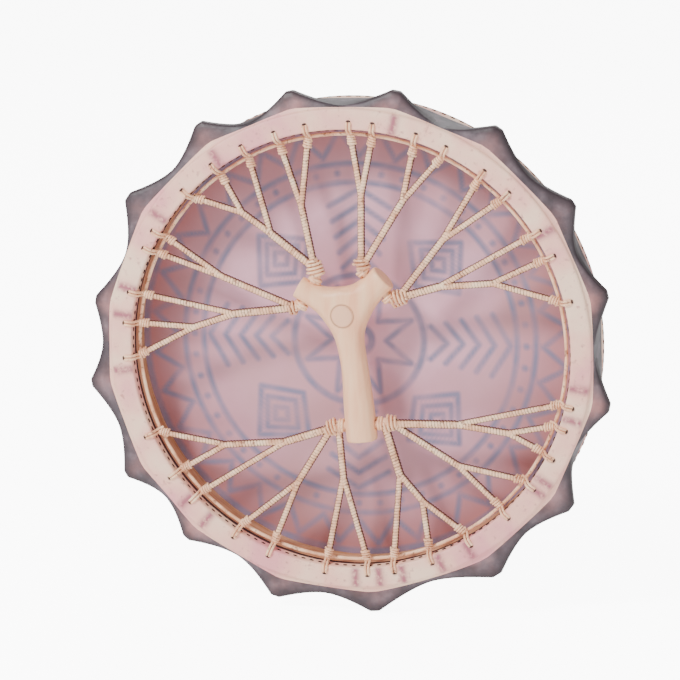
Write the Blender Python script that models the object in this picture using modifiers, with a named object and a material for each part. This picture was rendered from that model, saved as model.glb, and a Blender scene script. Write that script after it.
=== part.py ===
"""A hand-held shaman drum with a ring of resonators under its hide.

The drum stands upright. Its axis runs along Y: the head faces +Y, and the open back, with the
laced handle, faces -Y. Z is up. The origin is the middle of the drum. Angles round the rim
are degrees clockwise from the top, seen from the back, where +X is on the right.
"""

import math

import bmesh
import bpy
from mathutils import Vector

MM = 0.001

# Hoop and hide
DEPTH = 56 * MM
BORE_RADIUS = 207 * MM
RIM_WIDTH = 20 * MM
FLARE_OUT = 5 * MM
SHOULDER = 4 * MM
BACK_CORNER = 3 * MM
BORE_CORNER = 2 * MM
HIDE_THICKNESS = 1.5 * MM
LIP_DEPTH = 15 * MM
SEAT_GAP = 0.3 * MM

# Resonators: the blocks stand near the back edge of the hoop
TALL = 24 * MM
LOW = 18.5 * MM
RESONATOR_SET_IN = 10 * MM
TIP_LENGTH = 8 * MM
TIP_WIDTH = 8 * MM
FOOT_WIDTH = 20 * MM
BLOCK_ROUNDING = 1.2 * MM

# Each resonator's angle and height, and how far the hide stands off halfway to the next one
RESONATORS = (
    (10, LOW, 0.5 * MM),
    (33, TALL, 8.5 * MM),
    (55, TALL, 4.5 * MM),
    (75.5, LOW, 0.5 * MM),
    (100.5, LOW, 0.5 * MM),
    (124, TALL, 8.5 * MM),
    (146, TALL, 4.5 * MM),
    (174.5, TALL, 9 * MM),
    (196.5, TALL, 2.5 * MM),
    (220, LOW, 4.5 * MM),
    (239, TALL, 9 * MM),
    (260.5, TALL, 9 * MM),
    (279, LOW, 1.5 * MM),
    (303, TALL, 6.5 * MM),
    (325.5, TALL, 2.5 * MM),
    (346.5, LOW, 1.5 * MM),
)
# The hide falls away from a tip in this curve: 1 is straight, more is hollow
HIDE_HOLLOW = 1.8
# Where the hide bends between a tip and the middle of the gap beside it
SLOPE_SHARES = (0.3, 0.66)
FRONT_SLOPE_SHARE = 0.45

# Handle: a natural fork, held at the stem
HANDLE_Y = -13 * MM
STEM_FOOT = Vector((11 * MM, HANDLE_Y, -87 * MM))
STEM_WAIST = Vector((4 * MM, HANDLE_Y, -18 * MM))
STEM_NECK = Vector((-2 * MM, HANDLE_Y, 14 * MM))
CROTCH = Vector((-5 * MM, HANDLE_Y, 33 * MM))
LEFT_TIP = Vector((-50 * MM, HANDLE_Y, 57 * MM))
RIGHT_TIP = Vector((31 * MM, HANDLE_Y, 69 * MM))
FOOT_RADIUS = 15 * MM
WAIST_RADIUS = 12.7 * MM
NECK_RADIUS = 13.5 * MM
CROTCH_RADIUS = 16 * MM
LEFT_RADIUS = 10.5 * MM
RIGHT_RADIUS = 13.5 * MM
TIE_RADIUS = 4 * MM
ARM_HOLE_SET_IN = 11 * MM
FOOT_HOLE_SET_IN = 15 * MM

# Lacing
CORD_RADIUS = 2 * MM
CORD_SET_IN = 13 * MM
WALL_CLEARANCE = 0.6 * MM
THONG_RADIUS = 2.8 * MM
THIN_RADIUS = 0.9 * MM
TWO_THONGS = 3.6 * MM
BUNDLE_RADIUS = 4.2 * MM
HOOK_BEND = 50
HOOK_BENDS = 5
NECK_LENGTH = 9 * MM
FORK_LAP = 1.7 * MM

# Lashings: each cuff tapers from the handle to the branch that it holds
WRAP_RADIUS = 1.4 * MM
WRAP_GAP = 0.6 * MM
WRAP_CLEARANCE = 0.35 * MM
CUFF_RADIUS = 6.2 * MM
SMALL_CUFF_RADIUS = 4.2 * MM
CUFF_STANDOFF = 5.6 * MM
MOUTH_LENGTH = 3 * MM
POINTS_A_LOOP = 20

# Each cuff: its tie, the side of the hole it leaves from, its turns, its radius, and the
# direction it takes, as an angle from the handle
CUFFS = {
    "left_upper": ("left", 1, 4, CUFF_RADIUS, 350),
    "left_lower": ("left", -1, 2, SMALL_CUFF_RADIUS, 262),
    "right_upper": ("right", -1, 2, CUFF_RADIUS, 359),
    "right_lower": ("right", 1, 4, CUFF_RADIUS, 75),
    "foot_left": ("foot", 1, 3, CUFF_RADIUS, 253),
    "foot_right": ("foot", -1, 3, CUFF_RADIUS, 86),
}

# Each branch: the angles of its thongs' ends on the rim, its forks as (angle, share of the
# bore's radius), and the cuff that holds it. The first two thongs meet at the first fork, and
# the third joins at the second. A number is how far along its cuff a side branch is seated.
BRANCHES = {
    "a": ((349, 341), ((341, 0.68),), "left_upper", None),
    "b": ((323, 313, 332), ((321, 0.78), (325, 0.63)), "left_upper", 0.75),
    "c": ((300, 295), ((298, 0.66),), "left_lower", 1),
    "d": ((275, 266, 283), ((276, 0.72), (285, 0.55)), "left_lower", None),
    "e": ((245, 233, 225), ((231, 0.74), (214, 0.53)), "foot_left", None),
    "f": ((211, 201), ((201, 0.67),), "foot_left", 0.85),
    "g": ((186, 175), ((183, 0.59),), "foot_left", 0),
    "h": ((158, 147, 168), ((154, 0.76), (158, 0.61)), "foot_right", 0.1),
    "i": ((135, 125), ((136, 0.71),), "foot_right", 1),
    "j": ((116, 108, 102), ((116, 0.8), (124, 0.58)), "foot_right", None),
    "k": ((75, 63, 56), ((63, 0.72), (53, 0.5)), "right_lower", None),
    "l": ((44, 36), ((39, 0.66),), "right_lower", 0.7),
    "m": ((25, 17), ((19, 0.72),), "right_upper", 0.6),
    "n": ((6, 0), ((4, 0.7),), "right_upper", None),
}

HALF = DEPTH / 2
BACK_RADIUS = BORE_RADIUS + RIM_WIDTH
FRONT_RADIUS = BACK_RADIUS + FLARE_OUT
FLARE = FLARE_OUT / DEPTH
CORD_Y = CORD_SET_IN - HALF
HOOK_RADIUS = (CORD_RADIUS + SEAT_GAP + THIN_RADIUS) / math.cos(math.radians(HOOK_BEND / 2))
CORD_RING_RADIUS = BORE_RADIUS - WALL_CLEARANCE - THIN_RADIUS - HOOK_RADIUS
SPOKE_Y = CORD_Y - HOOK_RADIUS
PITCH = 2 * WRAP_RADIUS + WRAP_GAP


def clear_scene():
    for old in list(bpy.data.objects):
        bpy.data.objects.remove(old, do_unlink=True)


def collection(name):
    made = bpy.data.collections.new(name)
    bpy.context.scene.collection.children.link(made)
    return made


def material(name, colour, roughness):
    made = bpy.data.materials.new(name)
    made.use_nodes = True
    shader = made.node_tree.nodes["Principled BSDF"]
    shader.inputs["Base Color"].default_value = (*colour, 1)
    shader.inputs["Roughness"].default_value = roughness
    shader.inputs["Metallic"].default_value = 0
    made.diffuse_color = (*colour, 1)
    return made


clear_scene()
DRUM = collection("shaman_drum")
CUTTERS = collection("cutters")
BENT_WOOD = material("bent_birch", (0.58, 0.36, 0.19), 0.6)
BLOCK_WOOD = material("larch_blocks", (0.5, 0.3, 0.15), 0.65)
HIDE = material("rawhide", (0.72, 0.5, 0.52), 0.55)
THONG = material("rawhide_thong", (0.88, 0.72, 0.58), 0.6)
GRIP_WOOD = material("peeled_branch", (0.95, 0.69, 0.51), 0.5)


def rim(angle, radius, y):
    """The point at this angle round the rim."""
    turn = math.radians(angle)
    return Vector((radius * math.sin(turn), y, radius * math.cos(turn)))


def heading(angle):
    return rim(angle, 1, 0)


def helper(obj):
    """Mark an object as a tool that cuts or joins a piece."""
    obj.hide_render = True
    obj.display_type = "WIRE"
    return obj


def object_of(name, mesh, finish, home=DRUM):
    made = bpy.data.objects.new(name, mesh)
    home.objects.link(made)
    mesh.materials.clear()
    mesh.materials.append(finish)
    return made


def smooth(mesh, degrees=40):
    mesh.shade_smooth()
    mesh.set_sharp_from_angle(angle=math.radians(degrees))


# Resonators and the hide over them

def tip_half_angle(height):
    return math.degrees(TIP_WIDTH / 2 / (BACK_RADIUS + height))


def stations():
    """The angles at which the rim bends, each with the hide's rise over the hoop there."""
    found = []
    for i, (angle, height, _) in enumerate(RESONATORS):
        before, _, low_before = RESONATORS[i - 1]
        after = RESONATORS[(i + 1) % len(RESONATORS)][0]
        low_after = RESONATORS[i][2]
        flat = tip_half_angle(height)
        reaches = (
            (-1, ((angle - before) % 360) / 2 - flat, low_before),
            (1, ((after - angle) % 360) / 2 - flat, low_after),
        )
        for side, reach, low in reaches:
            found.append((angle + side * flat, height))
            for share in SLOPE_SHARES:
                rise = low + (height - low) * (1 - share) ** HIDE_HOLLOW
                found.append((angle + side * (flat + share * reach), rise))
    return sorted((angle % 360, rise) for angle, rise in found)


STATIONS = stations()


def skirt_radius(y):
    """The outside of the hide where nothing lifts it."""
    return BACK_RADIUS + (y + HALF) * FLARE


def hide_profile():
    """The hide from the head's edge to its lip: (radius, y, share of the rise)."""
    tip_y = RESONATOR_SET_IN - HALF
    tip_front = tip_y + TIP_LENGTH / 2
    tip_back = tip_y - TIP_LENGTH / 2
    slope_y = (tip_front + HALF - SHOULDER) / 2
    round_in = SHOULDER * (1 - math.sqrt(0.5))
    shoulder_y = HALF - SHOULDER
    corner_y = BACK_CORNER - HALF
    return (
        (FRONT_RADIUS - SHOULDER, HALF, 0),
        (FRONT_RADIUS - round_in, HALF - round_in, 0),
        (skirt_radius(shoulder_y), shoulder_y, 0),
        (skirt_radius(slope_y), slope_y, FRONT_SLOPE_SHARE),
        (skirt_radius(tip_front), tip_front, 1),
        (skirt_radius(tip_back), tip_back, 1),
        (skirt_radius(corner_y), corner_y, 0),
        (BACK_RADIUS - BACK_CORNER, -HALF, 0),
        (BORE_RADIUS + BORE_CORNER, -HALF, 0),
        (BORE_RADIUS, BORE_CORNER - HALF, 0),
        (BORE_RADIUS, LIP_DEPTH - HALF, 0),
    )


def spin_profile(profile, closed):
    """Spin (radius, y, share) points round the axis, one column of points at each station."""
    bm = bmesh.new()
    share_layer = bm.verts.layers.float.new("share")
    line = []
    for radius, y, share in profile:
        vert = bm.verts.new((0, y, radius))
        vert[share_layer] = share
        line.append(vert)
    edges = [bm.edges.new(pair) for pair in zip(line, line[1:])]
    if closed:
        edges.append(bm.edges.new((line[-1], line[0])))
    steps = len(STATIONS)
    bmesh.ops.spin(
        bm, geom=line + edges, cent=(0, 0, 0), axis=(0, 1, 0), angle=math.tau, steps=steps,
        use_merge=True,
    )
    for vert in bm.verts:
        turn = math.atan2(vert.co.x, vert.co.z)
        angle, rise = STATIONS[round(turn / math.tau * steps) % steps]
        radius = math.hypot(vert.co.x, vert.co.z) + rise * vert[share_layer]
        vert.co = rim(angle, radius, vert.co.y)
    return bm


def finish_mesh(bm, name):
    mesh = bpy.data.meshes.new(name)
    bm.to_mesh(mesh)
    bm.free()
    smooth(mesh)
    return mesh


def make_hide():
    """The hide's outside, closed over the head by a fan, with the skin's thickness inside."""
    bm = spin_profile(hide_profile(), closed=False)
    centre = bm.verts.new((0, HALF, 0))
    edge_radius = FRONT_RADIUS - SHOULDER
    on_head = [
        edge for edge in bm.edges
        if edge.is_boundary and all(
            abs(math.hypot(vert.co.x, vert.co.z) - edge_radius) < MM for vert in edge.verts
        )
    ]
    for edge in on_head:
        bm.faces.new((*edge.verts, centre))
    bmesh.ops.recalc_face_normals(bm, faces=bm.faces)
    if centre.link_faces[0].normal.y < 0:
        bmesh.ops.reverse_faces(bm, faces=bm.faces)
    hide = object_of("hide_cover", finish_mesh(bm, "hide_cover"), HIDE)
    skin = hide.modifiers.new("skin", "SOLIDIFY")
    skin.thickness = HIDE_THICKNESS
    skin.offset = -1
    skin.use_even_offset = True
    skin.use_quality_normals = True
    return hide


def inset(outline, distance):
    """Move an open outline of (radius, y) points sideways, to the side of the hoop."""
    points = [Vector(point) for point in outline]
    normals = []
    for here, there in zip(points, points[1:]):
        along = (there - here).normalized()
        normals.append(Vector((along.y, -along.x)))
    normals = [normals[0], *normals, normals[-1]]
    moved = []
    for point, before, after in zip(points, normals, normals[1:]):
        middle = (before + after).normalized()
        moved.append(point + middle * distance / middle.dot(after))
    return moved


def make_hoop():
    """The hoop fills the hide's bare section: front face, skirt, back face and bore."""
    bare = [(radius, y) for radius, y, share in hide_profile() if share == 0]
    section = inset(bare, HIDE_THICKNESS + SEAT_GAP)[:-1]
    bore = section[-1].x
    front = section[0].y
    profile = [(point.x, point.y, 0) for point in (*section, Vector((bore, front)))]
    bm = spin_profile(profile, closed=True)
    bmesh.ops.recalc_face_normals(bm, faces=bm.faces)
    return object_of("hoop", finish_mesh(bm, "hoop"), BENT_WOOD)


def block_mesh(height):
    """A tapered block along +Z, with its foot at the origin, wide along X and deep along Y."""
    tip_half = TIP_LENGTH / 2 - HIDE_THICKNESS - SEAT_GAP
    back_run = RESONATOR_SET_IN - TIP_LENGTH / 2 - BACK_CORNER
    tip_width = TIP_WIDTH / 2 - HIDE_THICKNESS - SEAT_GAP
    tip = Vector((tip_width, tip_half, height - SEAT_GAP))
    foot = Vector((FOOT_WIDTH / 2, tip_half + back_run * 0.8, SEAT_GAP))
    bm = bmesh.new()
    bmesh.ops.create_cube(bm, size=2)
    for vert in bm.verts:
        end = tip if vert.co.z > 0 else foot
        y = vert.co.y * end.y
        seat = 0 if end is tip else y * FLARE
        vert.co = Vector((vert.co.x * end.x, y, end.z + seat))
    mesh = bpy.data.meshes.new("resonator_block")
    bm.to_mesh(mesh)
    bm.free()
    return mesh


def make_resonators():
    """A block at each angle, standing on the hoop's flared outside."""
    y = RESONATOR_SET_IN - HALF
    seat_radius = skirt_radius(y) - (HIDE_THICKNESS + SEAT_GAP) * math.hypot(1, FLARE)
    meshes = {height: block_mesh(height) for height in (TALL, LOW)}
    for number, (angle, height, _) in enumerate(RESONATORS, 1):
        block = object_of(f"resonator_{number:02d}", meshes[height], BLOCK_WOOD)
        block.location = rim(angle, seat_radius, y)
        block.rotation_euler = (0, math.radians(angle), 0)
        edge = block.modifiers.new("rounding", "BEVEL")
        edge.width = BLOCK_ROUNDING
        edge.segments = 1


# Tubes

def tube(name, route, finish, resolution, home=DRUM):
    """A tube through (point, radius) pairs."""
    widest = max(radius for _, radius in route)
    curve = bpy.data.curves.new(name, "CURVE")
    curve.dimensions = "3D"
    curve.bevel_depth = widest
    curve.bevel_resolution = resolution
    curve.use_fill_caps = True
    spline = curve.splines.new("POLY")
    spline.points.add(len(route) - 1)
    for point, (place, radius) in zip(spline.points, route):
        point.co = (*place, 1)
        point.radius = radius / widest
    made = bpy.data.objects.new(name, curve)
    home.objects.link(made)
    curve.materials.append(finish)
    return made


def mesh_tube(name, route, finish, resolution):
    """A tube as a closed mesh, to cut or to join."""
    line = tube(name, route, finish, resolution)
    graph = bpy.context.evaluated_depsgraph_get()
    mesh = bpy.data.meshes.new_from_object(line.evaluated_get(graph))
    bpy.data.objects.remove(line, do_unlink=True)
    bm = bmesh.new()
    bm.from_mesh(mesh)
    bmesh.ops.remove_doubles(bm, verts=bm.verts, dist=0.001 * MM)
    bmesh.ops.recalc_face_normals(bm, faces=bm.faces)
    bm.to_mesh(mesh)
    bm.free()
    smooth(mesh)
    return object_of(name, mesh, finish)


def combine(obj, other, operation):
    """Cut the other object from this one, or join it on."""
    DRUM.objects.unlink(other)
    CUTTERS.objects.link(helper(other))
    boolean = obj.modifiers.new(other.name, "BOOLEAN")
    boolean.operation = operation
    boolean.solver = "EXACT"
    boolean.object = other


# Handle

# A square section of this half width becomes a round one of radius 1 when it is subdivided
ROUNDING_LOSS = 0.93


def along(start, end, share):
    return start.lerp(end, share)


def make_handle():
    """The fork is a skinned skeleton, sawn off at its three ends and bored for the ties."""
    past = 1.25
    foot_past = along(STEM_WAIST, STEM_FOOT, past)
    left_past = along(CROTCH, LEFT_TIP, past)
    right_past = along(CROTCH, RIGHT_TIP, past)
    bones = (
        (foot_past, FOOT_RADIUS),
        (along(STEM_WAIST, STEM_FOOT, 0.6), FOOT_RADIUS),
        (STEM_WAIST, WAIST_RADIUS),
        (STEM_NECK, NECK_RADIUS),
        (CROTCH, CROTCH_RADIUS),
        (along(CROTCH, LEFT_TIP, 0.5), LEFT_RADIUS * 1.1),
        (left_past, LEFT_RADIUS),
        (along(CROTCH, RIGHT_TIP, 0.5), RIGHT_RADIUS),
        (right_past, RIGHT_RADIUS),
    )
    links = ((0, 1), (1, 2), (2, 3), (3, 4), (4, 5), (5, 6), (4, 7), (7, 8))
    mesh = bpy.data.meshes.new("handle")
    mesh.from_pydata([place for place, _ in bones], links, [])
    handle = object_of("handle", mesh, GRIP_WOOD)
    skin = handle.modifiers.new("skin", "SKIN")
    skin.use_smooth_shade = True
    for vertex, (_, radius) in zip(mesh.skin_vertices[0].data, bones):
        vertex.radius = (radius / ROUNDING_LOSS, radius / ROUNDING_LOSS)
        vertex.use_root = False
    mesh.skin_vertices[0].data[4].use_root = True
    rounder = handle.modifiers.new("rounding", "SUBSURF")
    rounder.levels = 2
    rounder.render_levels = 2
    for name, start, end, radius in (
        ("saw_foot", STEM_FOOT, foot_past, FOOT_RADIUS),
        ("saw_left", LEFT_TIP, left_past, LEFT_RADIUS),
        ("saw_right", RIGHT_TIP, right_past, RIGHT_RADIUS),
    ):
        saw = mesh_tube(name, ((start, radius * 2), (along(start, end, 3), radius * 2)), GRIP_WOOD, 4)
        combine(handle, saw, "DIFFERENCE")
    for name, (place, way, radius) in HOLES.items():
        reach = way * radius * 2
        size = TIE_RADIUS + SEAT_GAP
        drill = mesh_tube(f"hole_{name}", ((place - reach, size), (place + reach, size)), GRIP_WOOD, 4)
        combine(handle, drill, "DIFFERENCE")
    return handle


def across(start, end):
    """The direction square to a limb, in the plane of the handle, on its right."""
    limb = (end - start).normalized()
    return Vector((limb.z, 0, -limb.x))


def hole(start, end, set_in, radius):
    limb = (end - start).normalized()
    return end - limb * set_in, across(start, end), radius


# Each hole's middle, its direction, and the handle's radius there
HOLES = {
    "left": hole(CROTCH, LEFT_TIP, ARM_HOLE_SET_IN, LEFT_RADIUS),
    "right": hole(CROTCH, RIGHT_TIP, ARM_HOLE_SET_IN, RIGHT_RADIUS),
    "foot": hole(STEM_WAIST, STEM_FOOT, FOOT_HOLE_SET_IN, FOOT_RADIUS),
}


# Ties and lashings

def cuff_frame(name):
    """A cuff's near end, its direction and the length of its windings."""
    tie, side, turns, _, angle = CUFFS[name]
    place, way, radius = HOLES[tie]
    near = place + way * side * (radius + CUFF_STANDOFF)
    return near, heading(angle), turns * PITCH


def cuff_radius(name, share):
    """The radius of the tie inside a cuff, which tapers to that of the branch."""
    widest = CUFFS[name][3]
    return widest + (min(BUNDLE_RADIUS, widest) - widest) * share


def mouth(name):
    near, way, length = cuff_frame(name)
    return near + way * (length + WRAP_RADIUS * 2 + MOUTH_LENGTH)


def make_ties():
    for tie, (place, way, radius) in HOLES.items():
        route = []
        for name in [name for name in CUFFS if CUFFS[name][0] == tie]:
            near, out, length = cuff_frame(name)
            side = CUFFS[name][1]
            half = [
                (place + way * side * (radius + SEAT_GAP), TIE_RADIUS),
                (near + out * WRAP_RADIUS / 2, cuff_radius(name, 0)),
                (near + out * (length + WRAP_RADIUS), cuff_radius(name, 1)),
                (mouth(name), cuff_radius(name, 1)),
            ]
            route = [*reversed(half)] if not route else [*route, (place, TIE_RADIUS), *half]
        tube(f"tie_{tie}", route, THONG, 2)


def winding_route(name):
    """A helix round a cuff, with straight ends one thong's width long."""
    near, out, _ = cuff_frame(name)
    turns = CUFFS[name][2]
    sideways = Vector((0, -1, 0))
    third = out.cross(sideways)
    start = near + out * WRAP_RADIUS * 2
    places = []
    count = turns * POINTS_A_LOOP
    for i in range(count + 1):
        turn = math.tau * i / POINTS_A_LOOP
        radius = cuff_radius(name, i / count) + WRAP_CLEARANCE + WRAP_RADIUS
        radius /= math.cos(math.pi / POINTS_A_LOOP)
        centre = start + out * PITCH * i / POINTS_A_LOOP
        places.append(centre + (sideways * math.cos(turn) + third * math.sin(turn)) * radius)
    first = places[0] + (places[0] - places[1]).normalized() * WRAP_RADIUS * 2
    last = places[-1] + (places[-1] - places[-2]).normalized() * WRAP_RADIUS * 2
    return [first, *places, last]


def self_gap(places):
    """The least gap between one part of a winding and another, half a loop or more away."""
    apart = POINTS_A_LOOP // 2
    nearest = min(
        (places[i] - places[j]).length
        for i in range(len(places))
        for j in range(i + apart, len(places))
    )
    return nearest - 2 * WRAP_RADIUS


def make_lashings():
    for name in CUFFS:
        places = winding_route(name)
        print(f"lashing_{name}: least gap to itself {self_gap(places) / MM:.2f} mm")
        tube(f"lashing_{name}", [(place, WRAP_RADIUS) for place in places], THONG, 1)


# Lacing

def lacing_y(share):
    """The lacing rises from the cord to the handle."""
    return HANDLE_Y + (SPOKE_Y - HANDLE_Y) * share


def fork_point(angle, share):
    return rim(angle, share * BORE_RADIUS, lacing_y(share))


def spoke_route(angle, fork):
    """A thong from its hook round the cord to the fork."""
    route = []
    for bend in range(HOOK_BENDS, -1, -1):
        turn = math.radians(bend * HOOK_BEND)
        radius = CORD_RING_RADIUS + HOOK_RADIUS * math.sin(turn)
        route.append((rim(angle, radius, CORD_Y - HOOK_RADIUS * math.cos(turn)), THIN_RADIUS))
    over = route[-1][0]
    onward = (fork - over).normalized()
    neck = over + onward * NECK_LENGTH
    return [*route, (neck, THONG_RADIUS), (fork + onward * FORK_LAP, THONG_RADIUS)]


def stem_end(name, share, fork, radius):
    """Where a branch meets its cuff: at the mouth, or on the side of the windings."""
    near, way, length = cuff_frame(name)
    if share is None:
        return mouth(name) + way * (SEAT_GAP + radius)
    foot = near + way * (WRAP_RADIUS + share * length)
    away = fork - foot
    away.y = 0
    away.normalize()
    side = (away - way * away.dot(way)).normalized()
    outside = cuff_radius(name, share) + WRAP_CLEARANCE + WRAP_RADIUS * 2 + SEAT_GAP
    return foot + side * (outside + radius * abs(away.dot(way)))


def make_branch(letter, angles, forks, cuff, share):
    """Thongs joined two by two into one stem, which ends at its cuff."""
    name = f"lacing_{letter}"
    places = [fork_point(*fork) for fork in forks]
    radii = (TWO_THONGS, BUNDLE_RADIUS)
    end = stem_end(cuff, share, places[-1], radii[len(forks) - 1])
    stops = [*places, end]
    stem = []
    for i, place in enumerate(places):
        radius = radii[i]
        on = stops[i + 1]
        stem += [(place, radius), (place.lerp(on, 0.9 if i + 1 < len(places) else 1), radius)]
    if share is None:
        stem.append((mouth(cuff) + cuff_frame(cuff)[1] * SEAT_GAP, radii[len(forks) - 1]))
    body = mesh_tube(name, stem, THONG, 2)
    targets = [places[0], places[0], places[-1]]
    for i, (angle, fork) in enumerate(zip(angles, targets)):
        spoke = mesh_tube(f"{name}_thong_{i + 1}", spoke_route(angle, fork), THONG, 1)
        combine(body, spoke, "UNION")


def make_edge_cord():
    bpy.ops.mesh.primitive_torus_add(
        major_segments=72, minor_segments=6, major_radius=CORD_RING_RADIUS,
        minor_radius=CORD_RADIUS, location=(0, CORD_Y, 0), rotation=(math.pi / 2, 0, 0),
    )
    cord = bpy.context.object
    cord.name = "edge_cord"
    for home in list(cord.users_collection):
        home.objects.unlink(cord)
    DRUM.objects.link(cord)
    cord.data.materials.append(THONG)
    smooth(cord.data, 60)


make_hoop()
make_hide()
make_resonators()
make_edge_cord()
make_handle()
make_ties()
make_lashings()
for letter, branch in BRANCHES.items():
    make_branch(letter, *branch)
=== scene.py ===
# %% [markdown]
# # The looks of a shaman drum
# The drum's solids come packed, in metres, from the CAD step. Its axis runs along Y: the painted
# head faces +Y, and the laced back faces -Y, to the camera. Z is up. This script gives each piece
# its surface, and makes the soft ones again with more detail: the hide, the lacing and its ties.

# %% Load the frame
import math

import bmesh
import bpy
import numpy as np
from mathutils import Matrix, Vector


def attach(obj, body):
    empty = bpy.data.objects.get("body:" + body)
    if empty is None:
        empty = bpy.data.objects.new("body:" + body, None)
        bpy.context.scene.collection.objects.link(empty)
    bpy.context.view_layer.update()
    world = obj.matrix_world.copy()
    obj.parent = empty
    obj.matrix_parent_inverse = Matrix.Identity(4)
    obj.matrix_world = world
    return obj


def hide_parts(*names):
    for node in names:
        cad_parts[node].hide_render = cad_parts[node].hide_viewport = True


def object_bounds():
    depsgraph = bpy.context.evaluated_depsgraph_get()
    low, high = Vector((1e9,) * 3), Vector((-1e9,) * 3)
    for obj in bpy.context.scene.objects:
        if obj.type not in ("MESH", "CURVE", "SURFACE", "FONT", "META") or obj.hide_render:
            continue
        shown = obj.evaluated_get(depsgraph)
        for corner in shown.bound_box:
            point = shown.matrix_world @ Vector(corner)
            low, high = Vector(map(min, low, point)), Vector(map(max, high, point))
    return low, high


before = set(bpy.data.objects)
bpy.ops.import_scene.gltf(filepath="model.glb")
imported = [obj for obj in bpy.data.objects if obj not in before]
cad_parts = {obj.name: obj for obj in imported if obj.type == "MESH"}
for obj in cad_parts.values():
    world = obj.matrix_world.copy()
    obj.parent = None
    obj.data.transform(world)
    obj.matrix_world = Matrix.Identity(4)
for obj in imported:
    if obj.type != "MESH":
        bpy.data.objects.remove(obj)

MM = 0.001
CAD_BOX = [list(corner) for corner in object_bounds()]
print("CAD box", CAD_BOX)

# %% [markdown]
# Colours are given as the sRGB hex values that a painter would pick from a screen. Blender's
# shaders want linear light, so one function turns them. A second adds one node with its links.

# %% Colours and nodes
def colour(hex_value):
    channels = [int(hex_value[i:i + 2], 16) / 255 for i in (1, 3, 5)]
    linear = [c / 12.92 if c <= 0.04045 else ((c + 0.055) / 1.055) ** 2.4 for c in channels]
    return (*linear, 1)


def add(tree, kind, links=None, **settings):
    """Add a node, set its attributes and inputs, and link its inputs."""
    node = tree.nodes.new(kind)
    for key, value in settings.items():
        if hasattr(node, key):
            setattr(node, key, value)
        else:
            node.inputs[key.replace("_", " ")].default_value = value
    for key, source in (links or {}).items():
        tree.links.new(source, node.inputs[key])
    return node


def new_material(name, roughness):
    material = bpy.data.materials.new(name)
    material.use_nodes = True
    shader = material.node_tree.nodes["Principled BSDF"]
    shader.inputs["Roughness"].default_value = roughness
    return material, material.node_tree, shader


def ramp(tree, source, stops):
    node = add(tree, "ShaderNodeValToRGB", {"Fac": source})
    elements = node.color_ramp.elements
    while len(elements) < len(stops):
        elements.new(0.5)
    for element, (place, value) in zip(elements, stops):
        element.position = place
        element.color = colour(value)
    return node.outputs["Color"]


def noise(tree, size_mm, detail=4.0, stretch=(1, 1, 1)):
    """Noise on Object coordinates, with spots of about this size."""
    where = add(tree, "ShaderNodeTexCoord").outputs["Object"]
    placed = add(tree, "ShaderNodeMapping", {"Vector": where}, Scale=stretch)
    made = add(tree, "ShaderNodeTexNoise", {"Vector": placed.outputs["Vector"]}, Detail=detail)
    made.inputs["Scale"].default_value = 1000 / size_mm
    return made.outputs["Fac"]


def mix(tree, share, first, second):
    """Mix two colours; each is a socket or a hex value."""
    node = add(tree, "ShaderNodeMix", data_type="RGBA")
    tree.links.new(share, node.inputs[0])
    for index, value in ((6, first), (7, second)):
        if isinstance(value, str):
            node.inputs[index].default_value = colour(value)
        else:
            tree.links.new(value, node.inputs[index])
    return node.outputs[2]


def span(tree, value, low, high, out_low=0.0, out_high=1.0):
    node = add(tree, "ShaderNodeMapRange", {"Value": value})
    for key, number in (
        ("From Min", low), ("From Max", high), ("To Min", out_low), ("To Max", out_high),
    ):
        node.inputs[key].default_value = number
    return node.outputs["Result"]


def attribute(tree, name):
    return add(tree, "ShaderNodeAttribute", attribute_name=name).outputs["Fac"]


def times(tree, first, second):
    node = add(tree, "ShaderNodeMath", operation="MULTIPLY")
    tree.links.new(first, node.inputs[0])
    tree.links.new(second, node.inputs[1])
    return node.outputs["Value"]


def bump(tree, shader, height, strength, distance_mm):
    node = add(tree, "ShaderNodeBump", {"Height": height}, Strength=strength)
    node.inputs["Distance"].default_value = distance_mm * MM
    tree.links.new(node.outputs["Normal"], shader.inputs["Normal"])

# %% [markdown]
# Rawhide is skin that was scraped, soaked and dried hard, so it is dull and a little uneven. The
# hem round the open back is pale peach with pink tints, and it wrinkled as it dried. The tints
# are broad noise, 55 mm wide. Wrinkles show as a bump a few millimetres wide, and the pleats as
# dark rose lines of painted shade, which follow an attribute that the mesh of the hem carries.

# %% The hem's rawhide
def hem_rawhide():
    material, tree, shader = new_material("pale_rawhide_hem", 0.55)
    tint = ramp(tree, noise(tree, 55), [(0.36, "#FFD9BE"), (0.5, "#FBC3AE"), (0.66, "#EDA0A4")])
    speck = span(tree, noise(tree, 5, 6.0), 0.6, 0.75, 0.0, 0.6)
    specked = mix(tree, speck, tint, "#B56A68")
    # The pleats are darkened to dark rose as a painted shade.
    pleat_shade = times(tree, attribute(tree, "pleat"), span(tree, noise(tree, 4), 0.3, 0.5, 0.4, 1.0))
    tree.links.new(mix(tree, pleat_shade, specked, "#A8606E"), shader.inputs["Base Color"])
    bump(tree, shader, noise(tree, 6, 5.0), 0.5, 0.8)
    return material


HEM = hem_rawhide()
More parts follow.
